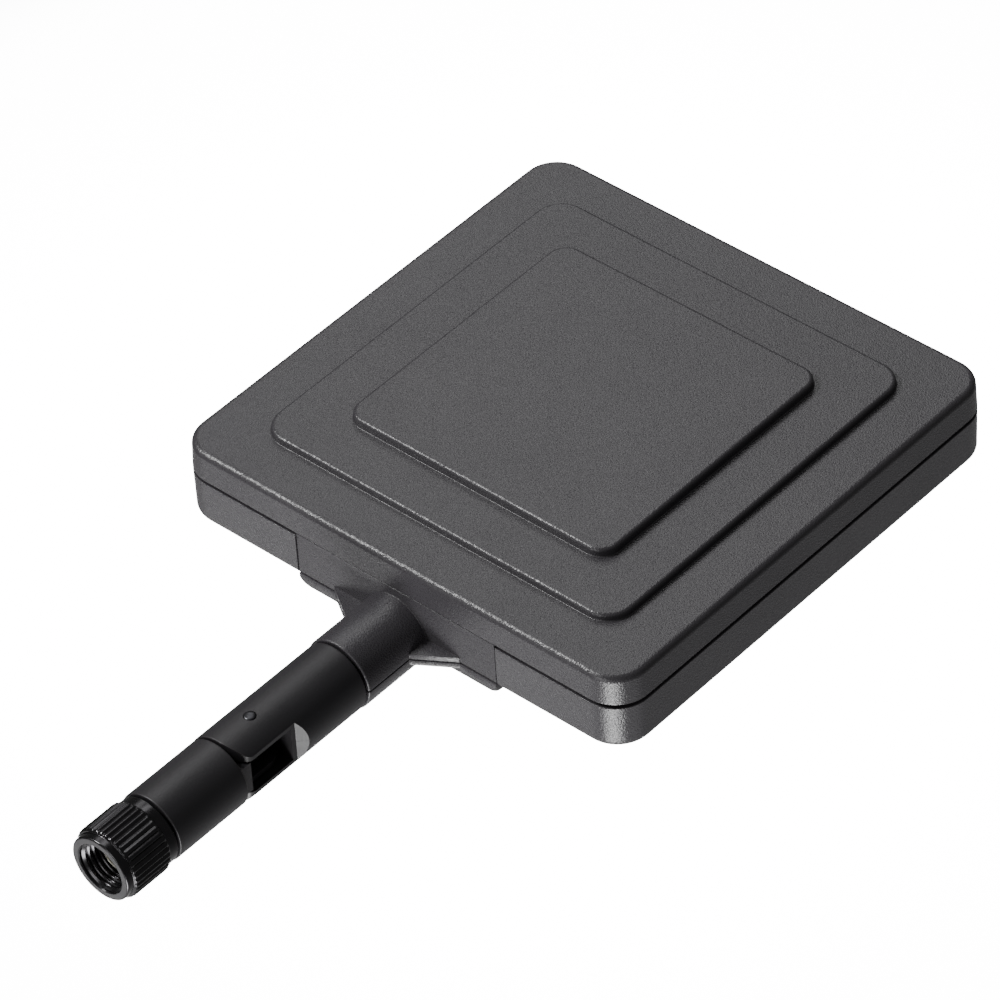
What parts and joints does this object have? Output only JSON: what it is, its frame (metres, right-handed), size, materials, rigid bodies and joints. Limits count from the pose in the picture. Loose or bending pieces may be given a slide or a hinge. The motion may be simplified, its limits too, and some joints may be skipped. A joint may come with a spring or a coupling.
{
  "type": "hinged panel antenna",
  "caption": "Square two-step black panel antenna on a folding, swivelling stem with a knurled SMA coupling nut.",
  "frame": {"origin": "on the stem's axis, at the mouth of the coupling nut", "axes": "+Y along the stem from the connector to the panel's far edge, +Z out of the panel's stepped radiating face"},
  "size_m": [0.068, 0.1167, 0.0169],
  "materials": {
    "shell_plastic": "fine spark-eroded black moulding",
    "stem_plastic": "satin black moulding",
    "nut_plating": "glossy black plated brass, straight knurl",
    "connector_plating": "nickel plated brass",
    "contact_gold": "gold plated contact",
    "insulator_ptfe": "white fluoropolymer",
    "gasket_rubber": "red silicone",
    "clip_bronze": "phosphor bronze spring",
    "pin_steel": "blackened steel",
    "screw_steel": "black zinc plated steel",
    "cable_jacket": "extruded black jacket",
    "plate_aluminium": "rolled sheet",
    "patch_brass": "rolled brass sheet",
    "spacer_nylon": "natural nylon",
    "feed_copper": "tinned copper"
  },
  "bodies": {
    "connector": {"connector_body": "connector_plating", "insulator": "insulator_ptfe", "centre_contact": "contact_gold", "face_gasket": "gasket_rubber", "crimp_ferrule": "connector_plating", "nut_retaining_clip": "clip_bronze"},
    "nut": {"coupling_nut": "nut_plating"},
    "swivel_base": {"lower_tube": "stem_plastic", "swivel_clip": "clip_bronze", "coax_lower": "cable_jacket"},
    "panel": {"front_radome": "shell_plastic", "back_shell": "shell_plastic", "neck_block": "shell_plastic", "neck_cover": "shell_plastic", "upper_tube": "stem_plastic", "hinge_pin_front": "pin_steel", "hinge_pin_back": "pin_steel", "coax_upper": "cable_jacket", "cable_clamp": "plate_aluminium", "reflector_plate": "plate_aluminium", "driven_patch": "patch_brass", "parasitic_patch": "patch_brass", "centre_stud": "spacer_nylon", "feed_pin": "feed_copper", "patch_spacer_1": "spacer_nylon", "shell_screw_1": "screw_steel", "plate_screw_1": "screw_steel", "patch_spacer_2": "spacer_nylon", "shell_screw_2": "screw_steel", "plate_screw_2": "screw_steel", "patch_spacer_3": "spacer_nylon", "shell_screw_3": "screw_steel", "plate_screw_3": "screw_steel", "patch_spacer_4": "spacer_nylon", "shell_screw_4": "screw_steel", "plate_screw_4": "screw_steel", "neck_screw_1": "screw_steel", "neck_screw_2": "screw_steel"}
  },
  "joints": [
    {"name": "nut_spin", "type": "hinge", "parent": "connector", "child": "nut", "pos_m": [0, 0.004, 0], "axis": [0, 1, 0], "continuous": true},
    {"name": "stem_swivel", "type": "hinge", "parent": "connector", "child": "swivel_base", "pos_m": [0, 0.0083, 0], "axis": [0, 1, 0], "range_deg": [-180, 180]},
    {"name": "elbow_fold", "type": "hinge", "parent": "swivel_base", "child": "panel", "pos_m": [0, 0.02495, 0], "axis": [0, 0, -1], "range_deg": [0, 90]}
  ]
}
